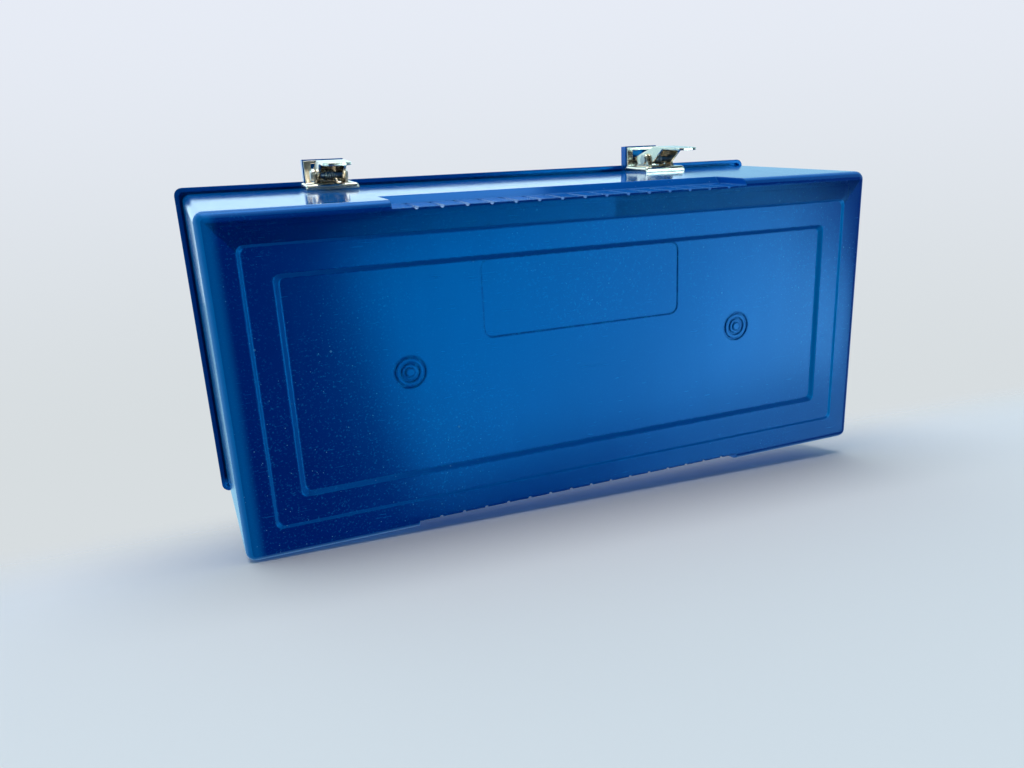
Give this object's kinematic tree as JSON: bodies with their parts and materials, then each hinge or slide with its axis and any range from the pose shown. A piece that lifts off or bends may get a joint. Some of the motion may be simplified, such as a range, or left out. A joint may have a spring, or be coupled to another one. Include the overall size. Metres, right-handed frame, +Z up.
{
  "type": "lunch box",
  "caption": "Dome-lid lunch box: moulded tub and hinged lid with snap latches, a folding top handle and a wire bottle bail.",
  "frame": {"origin": "centre of the underside's outline, on the surface the box stands on", "axes": "+Z up, +X to the box's right seen from the front, latches on the -Y side, hinges on the +Y side"},
  "size_m": [0.2534, 0.1373, 0.1908],
  "materials": {
    "blue_plastic": "gloss",
    "nickel": "bright nickel plate",
    "steel": "satin"
  },
  "bodies": {
    "tub": {"base_tub": "blue_plastic", "latch_base_left": "nickel", "latch_base_right": "nickel", "latch_pin_left": "steel", "latch_pin_right": "steel", "latch_spring_left": "steel", "latch_spring_right": "steel", "latch_rivets": "nickel", "hinge_tub_leaf_left": "nickel", "hinge_tub_leaf_right": "nickel", "hinge_pin_left": "steel", "hinge_pin_right": "steel", "hinge_tub_rivets": "nickel"},
    "lid": {"lid_dome": "blue_plastic", "strike_plate_left": "nickel", "strike_plate_right": "nickel", "hinge_lid_leaf_left": "nickel", "hinge_lid_leaf_right": "nickel", "hinge_lid_rivets": "nickel", "handle_bracket_left": "nickel", "handle_bracket_right": "nickel", "handle_pin_left": "steel", "handle_pin_right": "steel", "handle_bracket_rivets": "nickel", "bail_saddle_left": "nickel", "bail_saddle_right": "nickel", "bail_saddle_rivets": "nickel"},
    "handle": {"handle_grip": "blue_plastic"},
    "latch_left": {"latch_lever_left": "nickel"},
    "latch_right": {"latch_lever_right": "nickel"},
    "bail": {"bottle_bail": "steel"}
  },
  "joints": [
    {"name": "lid_hinge", "type": "hinge", "parent": "tub", "child": "lid", "pos_m": [0, 0.06542, 0.08695], "axis": [-1, 0, 0], "range_deg": [0, 110]},
    {"name": "handle_fold", "type": "hinge", "parent": "lid", "child": "handle", "pos_m": [0, 0, 0.1866], "axis": [1, 0, 0], "range_deg": [0, 215.6]},
    {"name": "latch_left_press", "type": "hinge", "parent": "tub", "child": "latch_left", "pos_m": [-0.0715, -0.06234, 0.07165], "axis": [1, 0, 0], "range_deg": [0, 9], "stiffness_Nm_per_rad": 0.02, "springref_deg": -28.65},
    {"name": "latch_right_press", "type": "hinge", "parent": "tub", "child": "latch_right", "pos_m": [0.0715, -0.06234, 0.07165], "axis": [1, 0, 0], "range_deg": [0, 9], "stiffness_Nm_per_rad": 0.02, "springref_deg": -28.65},
    {"name": "bail_swing", "type": "hinge", "parent": "lid", "child": "bail", "pos_m": [0, 0.04804, 0.0941], "axis": [1, 0, 0], "range_deg": [0, 85]}
  ]
}
